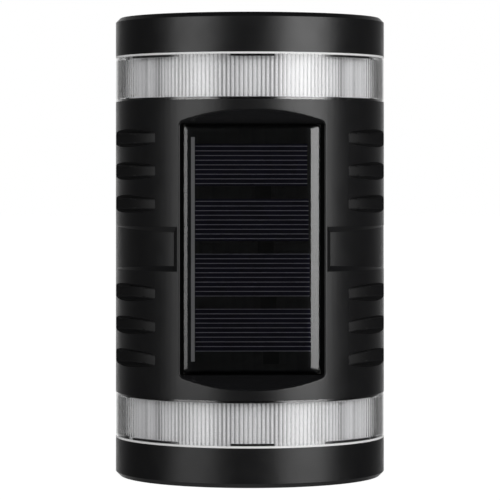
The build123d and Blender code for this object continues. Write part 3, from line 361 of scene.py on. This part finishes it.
# --- settings that a user would change ---
class FenceLightShape(bpy.types.PropertyGroup):
    """Sizes of the pieces that are made anew."""
    strip: FloatProperty(
        name="Strip width", description="Width of the upright strips that the round front is cut into",
        default=1.25, min=1, max=10)
    rib_count: IntProperty(
        name="Ribs", description="Upright ribs over the half circle of a lens band",
        default=90, min=20, max=200)
    rib_depth: FloatProperty(
        name="Sleeve ribs", description="How far each rib of the opal sleeve stands out",
        default=0.65 * MM, unit="LENGTH")
    lens_rib: FloatProperty(
        name="Lens ribs", description="How far the ribs inside the clear band stand in",
        default=0.03 * MM, unit="LENGTH")
    sleeve_wall: FloatProperty(
        name="Sleeve wall", description="Thickness of the opal sleeve", default=1.2 * MM,
        unit="LENGTH")
    lens_wall: FloatProperty(
        name="Lens wall", description="Thickness of a lens band beside its ribs",
        default=1.8 * MM, unit="LENGTH")
    resin_edges: FloatVectorProperty(
        name="Resin edges", description="Width of the sloping edge at the left, the right, and the "
        "top and bottom of the resin slab, which was poured slightly out of level",
        size=3, default=(1.5 * MM, 3.7 * MM, 1.5 * MM), unit="LENGTH")
    resin_drops: FloatVectorProperty(
        name="Resin drops", description="How far the resin falls from its face to its edge at the "
        "left and the right", size=2, default=(0.6 * MM, 1.35 * MM), unit="LENGTH")


class FenceLightFinish(bpy.types.PropertyGroup):
    """Colours and patterns."""
    body: StringProperty(name="Housing colour", description="sRGB hex of the black ABS",
                         default="#0c0c0d")
    grain: FloatProperty(name="Grain", description="Grain of the moulded surface",
                         default=0.35 * MM, unit="LENGTH")
    roughness: FloatVectorProperty(name="Roughness", description="Least and greatest roughness of "
                                   "the black ABS", size=2, default=(0.29, 0.35))
    sleeve: StringProperty(name="Sleeve colour", description="sRGB hex of the opal sleeve",
                           default="#f7f7f9")
    finger_pitch: FloatProperty(name="Finger pitch", description="Spacing of the printed fingers",
                                default=1.61 * MM, unit="LENGTH")
    finger_width: FloatProperty(name="Finger width", description="Drawn width of a finger",
                                default=0.22 * MM, unit="LENGTH")


class FenceLightStudio(bpy.types.PropertyGroup):
    """Camera."""
    distance: FloatProperty(name="Camera distance", description="Camera from the light's axis",
                            default=1.006, unit="LENGTH")
    azimuth: FloatProperty(name="Camera azimuth", description="Camera towards +X",
                           default=radians(-1.15), unit="ROTATION")
    height: FloatProperty(name="Camera height", description="Above the light's middle",
                          default=26.0 * MM, unit="LENGTH")
    focal: FloatProperty(name="Focal length", description="Focal length on a 36 mm sensor, in mm",
                         default=202.0)
    centre: FloatVectorProperty(name="Shift", description="Lens shift across and up", size=2,
                                default=(0.0002, -0.1523))


# --- pieces ---
def is_round_front(face):
    """Whether a face lies on the half cylinder and looks outwards, unlike the walls of openings."""
    off, least_facing = 0.004 * MM, 0.93
    if not all(abs(hypot(v.co.x, v.co.y - AXIS_Y) - RADIUS) < off and v.co.y < AXIS_Y + off
               for v in face.verts):
        return False
    outwards = face.calc_center_median() - AXIS
    outwards.z = 0
    return face.normal.dot(outwards.normalized()) > least_facing


def straddles(face, normal):
    """Whether a face has points on both sides of the plane through the axis."""
    sides = [normal.dot(v.co - AXIS) for v in face.verts]
    least = 0.001 * MM
    return min(sides) < -least and max(sides) > least


def round_front(work, strip):
    """Cuts the round front every strip degrees by upright planes through its axis. A point that a
    cut makes on the flat of a facet, at most sag inside the front's radius, is set on it."""
    sag = 0.6 * MM
    steps = round(180 / strip)
    front = [f for f in work.faces if is_round_front(f)]
    for i in range(1, steps):
        angle = radians(-90 + i * 180 / steps)
        normal = Vector((cos(angle), sin(angle), 0))
        near = [f for f in front if straddles(f, normal)]
        if not near:
            continue
        edges = list({e for f in near for e in f.edges})
        cut = bmesh.ops.bisect_plane(work, geom=edges + near, dist=0.0001 * MM, plane_co=AXIS,
                                     plane_no=normal)
        done = set(near)
        front = [f for f in front if f not in done]
        front += [f for f in cut["geom"] if isinstance(f, bmesh.types.BMFace)]
        for vert in (v for v in cut["geom_cut"] if isinstance(v, bmesh.types.BMVert)):
            out = Vector((vert.co.x, vert.co.y - AXIS_Y, 0))
            if RADIUS - out.length < sag:
                out = out.normalized() * RADIUS
                vert.co = Vector((out.x, out.y + AXIS_Y, vert.co.z))


class FENCELIGHT_OT_housing(bpy.types.Operator):
    """Black housing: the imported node's triangles, joined, with its front cut into fine strips so
    that it is a true half cylinder between its openings."""
    bl_idname = "fence_light.housing"
    bl_label = "Housing"

    def execute(self, context):
        mesh = NODES["main_housing"].data.copy()
        mesh.name = "housing_shell"
        work = bmesh.new()
        work.from_mesh(mesh)
        bmesh.ops.remove_doubles(work, verts=work.verts, dist=WELD_GAP)
        round_front(work, context.scene.fence_light_shape.strip)
        bmesh.ops.triangulate(work, faces=[f for f in work.faces if len(f.verts) > 4])
        work.to_mesh(mesh)
        work.free()
        shell = bpy.data.objects.new("housing_shell", mesh)
        context.scene.collection.objects.link(shell)
        smooth_by_angle(shell, MOULDING_EDGE)
        place_piece(shell, textured_abs(context.scene.fence_light_finish), "main_housing")
        return {"FINISHED"}


def make_band(name, shape, levels, back_y, outside, inside):
    """Closed C-shaped band about the light's axis. At angle a and height z its outer radius is
    outside[0] less outside[1] x (1 - c f), and its inner radius is inside[0] less inside[1] x c f.
    c is the ribs' wave |sin(a x ribs)|. f is 0 up to the foot and from the flange on, rises
    smoothly as 3 t^2 - 2 t^3 over 0.4 mm past them, and is 1 between. Both sides run straight
    back to back_y."""
    points_per_rib = 8
    angle = np.linspace(-pi / 2, pi / 2, shape.rib_count * points_per_rib + 1)
    crest = np.abs(np.sin((angle + pi / 2) * shape.rib_count))
    low, foot, flange, high = levels
    soft = 0.4 * MM
    rise = np.array([0, 0.35, 1]) * soft
    heights = np.array([low, *(foot + rise), (low + high) / 2, *(flange - rise[::-1]), high])
    fade = np.clip(np.minimum(heights - foot, flange - heights) / soft, 0, 1)
    ribs = crest * (fade * fade * (3 - 2 * fade))[:, None]

    def outline(radius, widest):
        arc = np.stack([radius * np.sin(angle), AXIS_Y - radius * np.cos(angle)], 2)
        ends = np.ones((len(heights), 1, 1)) * np.array([[[widest, back_y]]])
        return np.concatenate([ends * [-1, 1], arc, ends], 1)

    outer = outline(outside[0] - outside[1] * (1 - ribs), outside[0] - outside[1])
    inner = outline(inside[0] - inside[1] * ribs, inside[0])
    flat = np.concatenate([outer, inner[:, ::-1]], 1)
    count = flat.shape[1]
    points = np.dstack([flat, np.repeat(heights, count).reshape(len(heights), count)])
    i = np.arange(count // 2 - 1)
    mate = count - 1 - i
    last = (len(heights) - 1) * count
    faces = ring_faces(len(heights), count)
    faces += np.column_stack([i, mate, mate - 1, i + 1]).tolist()
    faces += np.column_stack([i + last, i + 1 + last, mate - 1 + last, mate + last]).tolist()
    band = make_mesh_object(name, points.reshape(-1, 3), faces)
    smooth_by_angle(band, BAND_EDGE)
    return band


class FENCELIGHT_OT_lenses(bpy.types.Operator):
    """Clear bands above and below the body, and the ribbed opal sleeves behind them."""
    bl_idname = "fence_light.lenses"
    bl_label = "Lens bands"

    def execute(self, context):
        shape, finish = context.scene.fence_light_shape, context.scene.fence_light_finish
        clear = clear_polycarbonate()
        opal = ribbed_opal_painted_shade(finish.sleeve, shape.rib_count)
        wall = RADIUS - shape.lens_wall
        foot, flange, sleeve_rim = 1.0 * MM, 1.5 * MM, 0.3 * MM
        lens_levels = (BODY_TOP, BODY_TOP + foot, LENS_TOP - flange, LENS_TOP)
        for side, up in (("upper", 1), ("lower", -1)):
            lens = make_band(side + "_lens_band", shape, sorted(up * z for z in lens_levels), 0.0,
                             (RADIUS, 0.0), (wall, shape.lens_rib))
            place_piece(lens, clear, side + "_lens")
            node = side + "_diffuser"
            low, high = corner(node, 0), corner(node, 1)
            levels = (low[2], low[2] + sleeve_rim, high[2] - sleeve_rim, high[2])
            sleeve = make_band(side + "_sleeve", shape, levels, high[1],
                               (high[0], shape.rib_depth), (high[0] - shape.sleeve_wall, 0.0))
            place_piece(sleeve, opal, node)
        return {"FINISHED"}


def make_resin(shape):
    """Poured slab. A rounded rectangle is the outline and a smaller one inside it bounds the flat
    face. A share t of the way from the face to the outline the surface has fallen by
    drop x (0.75 t + 0.25 t^2), and over the last tenth it also rolls over by a quarter circle, as
    surface tension leaves it. The drop grows evenly from the left edge to the right."""
    x1, z1 = PANEL_HIGH[0], PANEL_HIGH[2]
    face, back = PANEL_LOW[1], PANEL_HIGH[1]
    outer_radius, inner_radius = 1.6 * MM, 0.9 * MM
    roll_share, roll_drop = 0.1, 0.25 * MM
    quarter = np.linspace(0, pi / 2, 10)

    def rounded(low_x, high_x, half_z, radius):
        corners = ((high_x - radius, half_z - radius), (low_x + radius, half_z - radius),
                   (low_x + radius, radius - half_z), (high_x - radius, radius - half_z))
        return np.vstack([np.column_stack([x + radius * np.cos(quarter + turn * pi / 2),
                                           z + radius * np.sin(quarter + turn * pi / 2)])
                          for turn, (x, z) in enumerate(corners)])

    left, right, ends = shape.resin_edges
    outline = rounded(-x1, x1, z1, outer_radius)
    inner = rounded(left - x1, x1 - right, z1 - ends, inner_radius)
    across = (outline[:, 0] + x1) / (2 * x1)
    drop = shape.resin_drops[0] * (1 - across) + shape.resin_drops[1] * across
    rings = [np.column_stack([outline[:, 0], np.full(len(outline), back), outline[:, 1]])]
    edge = 1 - roll_share * (1 - np.cos(np.linspace(0, pi / 2, 7)))
    for t in np.concatenate([edge, np.linspace(0.8, 0, 9)]):
        flat = inner + (outline - inner) * t
        rolled = np.clip((t - 1 + roll_share) / roll_share, 0, 1)
        y = face + drop * (0.75 * t + 0.25 * t * t) + roll_drop * (1 - np.sqrt(1 - rolled ** 2))
        rings.append(np.column_stack([flat[:, 0], y, flat[:, 1]]))
    count = len(outline)
    last = (len(rings) - 1) * count
    faces = [list(range(count))[::-1], *ring_faces(len(rings), count),
             list(range(last, last + count))]
    slab = make_mesh_object("resin_slab", np.vstack(rings), faces)
    work = bmesh.new()
    work.from_mesh(slab.data)
    bmesh.ops.recalc_face_normals(work, faces=work.faces)
    work.to_mesh(slab.data)
    work.free()
    smooth_by_angle(slab, RESIN_EDGE)
    return slab


class FENCELIGHT_OT_panel(bpy.types.Operator):
    """Solar panel: resin slab, silicon strips with printed fingers, ribbon, links and board."""
    bl_idname = "fence_light.panel"
    bl_label = "Solar panel"

    def execute(self, context):
        shape, finish = context.scene.fence_light_shape, context.scene.fence_light_finish
        place_piece(make_resin(shape), cast_epoxy(), "panel_epoxy")
        for number, lines in enumerate(FINGERS, 1):
            node = f"solar_cell_{number}"
            low, high = corner(node, 0)[2], corner(node, 1)[2]
            first = (low + high) / 2 - (lines - 1) / 2 * finish.finger_pitch
            put_material(NODES[node], silicon_cell(f"silicon_{number}", first, finish.finger_pitch,
                                                   finish.finger_width))
        put_material(NODES["cell_ribbon"], plain_plastic("tinned_copper", "#eeedea", 0.6))
        put_material(NODES["cell_links"], plain_plastic("black_tab_ink", "#020202", 0.7))
        put_material(NODES["panel_board"], plain_plastic("black_solder_mask", "#2c2c29", 0.6, 0.8 * MM))
        return {"FINISHED"}


class FENCELIGHT_OT_plastics(bpy.types.Operator):
    """Caps, back cover and switch knob."""
    bl_idname = "fence_light.plastics"
    bl_label = "Plastic parts"

    def execute(self, context):
        for node in ("top_cap", "bottom_cap", "back_cover"):
            put_material(NODES[node], textured_abs(context.scene.fence_light_finish))
            smooth_cad(node, MOULDING_EDGE)
        put_material(NODES["switch_knob"], plain_plastic("acetal_black", "#1b1b1c", 0.4))
        smooth_cad("switch_knob", MOULDING_EDGE)
        return {"FINISHED"}


class FENCELIGHT_OT_inner_parts(bpy.types.Operator):
    """Screws, circuit boards, battery, contacts, wires and seals inside the housing."""
    bl_idname = "fence_light.inner_parts"
    bl_label = "Inner parts"

    def execute(self, context):
        zinc = plated_metal("zinc_plated_steel", "#b9bbbd", 0.32)
        nickel = plated_metal("nickel_plated_steel", "#c4c2bd", 0.28)
        foam = plain_plastic("eva_foam", "#1c1c1d", 0.9, 0.25 * MM)
        rubber = plain_plastic("black_rubber", "#161617", 0.75)
        white_mask = plain_plastic("white_solder_mask", "#dcdcd6", 0.45)
        red_wires = tuple(n for n in NODES if n.endswith("_red"))
        black_wires = tuple(n for n in NODES if n.endswith("_black"))
        finishes = {
            zinc: ("back_cover_screws", "cap_screws", "board_screws", "holder_screws",
                   "switch_body"),
            nickel: ("positive_plate", "negative_plate", "battery_spring", "battery_can"),
            foam: ("panel_tape", "back_gasket", "upper_led_tape", "lower_led_tape"),
            rubber: ("upper_grommet", "lower_grommet"),
            white_mask: ("upper_led_board", "lower_led_board"),
            plain_plastic("phosphor_silicone", "#e9d58a", 0.35): ("upper_leds", "lower_leds"),
            plain_plastic("green_solder_mask", "#1d5a34", 0.4): ("control_board",),
            plain_plastic("moulded_epoxy", "#1a1a1b", 0.5): ("driver_chip", "board_resistors"),
            plain_plastic("sintered_ferrite", "#3a3837", 0.6): ("boost_inductor",),
            plated_metal("drawn_aluminium", "#c8cacd", 0.3): ("buffer_capacitor",),
            plain_plastic("black_polypropylene", "#18181a", 0.5): ("battery_holder",),
            plain_plastic("shrink_sleeve", "#3f7a6a", 0.3): ("battery_wrap",),
            plain_plastic("red_pvc", "#9c1c17", 0.45): red_wires,
            plain_plastic("black_pvc", "#161617", 0.45): black_wires,
        }
        for material, nodes in finishes.items():
            for node in nodes:
                put_material(NODES[node], material)
                smooth_cad(node, SMALL_PART_EDGE)
        return {"FINISHED"}


# --- stage ---
def softbox(name, azimuth, height, distance, size, power, edges):
    """Rectangular area lamp at an angle round the light, from the camera's side, facing it. Its
    glow fades towards its sides over the given shares of its width and height."""
    lamp = bpy.data.lights.new(name, "AREA")
    lamp.shape = "RECTANGLE"
    lamp.size, lamp.size_y = size
    lamp.energy = power
    lamp.use_nodes = True
    tree = lamp.node_tree
    tree.nodes.clear()
    across = add(tree, "ShaderNodeSeparateXYZ",
                 Vector=add(tree, "ShaderNodeNewGeometry").outputs["Parametric"])
    fades = []
    for axis, soft in zip("XY", edges):
        fold = add(tree, "ShaderNodeMath", {"operation": "PINGPONG", 1: 0.5}, i0=across.outputs[axis])
        fades.append(add(tree, "ShaderNodeMapRange",
                         {"interpolation_type": "SMOOTHSTEP", "From Max": soft},
                         Value=fold.outputs[0]).outputs["Result"])
    glow = add(tree, "ShaderNodeMath", {"operation": "MULTIPLY"}, i0=fades[0], i1=fades[1])
    shine = add(tree, "ShaderNodeEmission", Strength=glow.outputs[0])
    output = tree.nodes.new("ShaderNodeOutputLight")
    tree.links.new(shine.outputs[0], output.inputs["Surface"])
    thing = bpy.data.objects.new(name, lamp)
    a = radians(azimuth)
    spot = Vector((distance * sin(a), AXIS_Y - distance * cos(a), height))
    thing.location = spot
    thing.rotation_euler = (Vector((0, AXIS_Y, height)) - spot).to_track_quat("-Z", "Y").to_euler()
    bpy.context.scene.collection.objects.link(thing)


def studio_world():
    """White behind the light, as the camera, glossy and transmitted rays see it; towards the
    camera's side glossy rays meet a dark studio with a dim front. Diffuse light is even."""
    world = bpy.data.worlds.new("studio")
    world.use_nodes = True
    tree = world.node_tree
    tree.nodes.clear()
    output = tree.nodes.new("ShaderNodeOutputWorld")
    place = add(tree, "ShaderNodeTexCoord").outputs["Generated"]
    axes = add(tree, "ShaderNodeSeparateXYZ", Vector=place)
    ramp = add(tree, "ShaderNodeValToRGB", i0=add(
        tree, "ShaderNodeMapRange", {"From Min": -1.0, "From Max": 1.0},
        Value=axes.outputs["Y"]).outputs["Result"])
    # Place and brightness, from the camera's side (0) to behind the light (1).
    stops = ((0.0, 0.02), (0.06, 0.02), (0.16, 0.01), (0.6, 0.006), (0.82, 0.03), (0.88, 0.12),
             (0.95, 0.2), (0.985, 1.0))
    while len(ramp.color_ramp.elements) < len(stops):
        ramp.color_ramp.elements.new(0.5)
    for element, (spot, level) in zip(ramp.color_ramp.elements, stops):
        element.position = spot
        element.color = (level, level, level, 1)
    below = add(tree, "ShaderNodeMapRange",
                {"From Min": -0.55, "From Max": -0.9, "To Max": 0.25}, Value=axes.outputs["Z"])
    mirrored_light = add(tree, "ShaderNodeMath", {"operation": "MAXIMUM"},
                         i0=ramp.outputs["Color"], i1=below.outputs["Result"])
    path = add(tree, "ShaderNodeLightPath")
    seen = add(tree, "ShaderNodeBackground", {"Color": (1, 1, 1, 1), "Strength": 1.0})
    mirrored = add(tree, "ShaderNodeBackground", {"Strength": 1.0},
                   Color=mirrored_light.outputs[0])
    ambient = add(tree, "ShaderNodeBackground", {"Color": (1, 1, 1, 1), "Strength": 0.56})
    bent = add(tree, "ShaderNodeMath", {"operation": "MAXIMUM"},
               i0=path.outputs["Is Glossy Ray"], i1=path.outputs["Is Transmission Ray"])
    glossy = add(tree, "ShaderNodeMixShader", i0=bent.outputs[0], i1=ambient.outputs[0],
                 i2=mirrored.outputs[0])
    mixed = add(tree, "ShaderNodeMixShader", i0=path.outputs["Is Camera Ray"],
                i1=glossy.outputs[0], i2=seen.outputs[0])
    tree.links.new(mixed.outputs[0], output.inputs["Surface"])
    return world


class FENCELIGHT_OT_stage(bpy.types.Operator):
    """White floor, two upright softboxes and the camera."""
    bl_idname = "fence_light.stage"
    bl_label = "Stage"

    def execute(self, context):
        scene, studio = context.scene, context.scene.fence_light_studio
        half, z = 6.0, -LIGHT_TOP
        floor = make_mesh_object("floor", np.array([(-half, -half, z), (half, -half, z),
                                                    (half, half, z), (-half, half, z)]),
                                 [(0, 1, 2, 3)])
        put_material(floor, studio_floor())
        scene.world = studio_world()
        softbox("left_softbox", azimuth=-49, height=0.25, distance=1.2, size=(1.1, 1.4),
                power=9.5, edges=(0.25, 0.35))
        softbox("right_softbox", azimuth=46, height=0.25, distance=1.2, size=(1.3, 1.4),
                power=21.0, edges=(0.3, 0.35))
        lens = bpy.data.cameras.new("camera")
        lens.lens, lens.sensor_width = studio.focal, 36.0
        lens.shift_x, lens.shift_y = studio.centre
        camera = bpy.data.objects.new("camera", lens)
        camera.location = (studio.distance * sin(studio.azimuth),
                           AXIS_Y - studio.distance * cos(studio.azimuth), studio.height)
        camera.rotation_euler = (pi / 2, 0, studio.azimuth)
        scene.collection.objects.link(camera)
        scene.camera = camera
        scene.view_settings.view_transform = "Standard"
        return {"FINISHED"}


class FENCELIGHT_PT_panel(bpy.types.Panel):
    """Buttons for each group of pieces, and their sizes and finishes."""
    bl_idname = "FENCELIGHT_PT_panel"
    bl_label = "Fence light"
    bl_space_type = "VIEW_3D"
    bl_region_type = "UI"
    bl_category = "Fence light"

    def draw(self, context):
        for operator in OPERATORS:
            self.layout.operator(operator.bl_idname)
        for group in (context.scene.fence_light_shape, context.scene.fence_light_finish,
                      context.scene.fence_light_studio):
            box = self.layout.box()
            for name in group.__annotations__:
                box.prop(group, name)


GROUPS = (("fence_light_shape", FenceLightShape), ("fence_light_finish", FenceLightFinish),
          ("fence_light_studio", FenceLightStudio))
OPERATORS = (FENCELIGHT_OT_housing, FENCELIGHT_OT_lenses, FENCELIGHT_OT_panel,
             FENCELIGHT_OT_plastics, FENCELIGHT_OT_inner_parts, FENCELIGHT_OT_stage)


def register():
    for name, group in GROUPS:
        bpy.utils.register_class(group)
        setattr(bpy.types.Scene, name, PointerProperty(type=group))
    for item in OPERATORS + (FENCELIGHT_PT_panel,):
        bpy.utils.register_class(item)


def unregister():
    for item in reversed(OPERATORS + (FENCELIGHT_PT_panel,)):
        bpy.utils.unregister_class(item)
    for name, group in reversed(GROUPS):
        delattr(bpy.types.Scene, name)
        bpy.utils.unregister_class(group)


def main():
    register()
    bpy.ops.fence_light.housing()
    bpy.ops.fence_light.lenses()
    bpy.ops.fence_light.panel()
    bpy.ops.fence_light.plastics()
    bpy.ops.fence_light.inner_parts()
    bpy.ops.fence_light.stage()


if __name__ == "__main__":
    main()
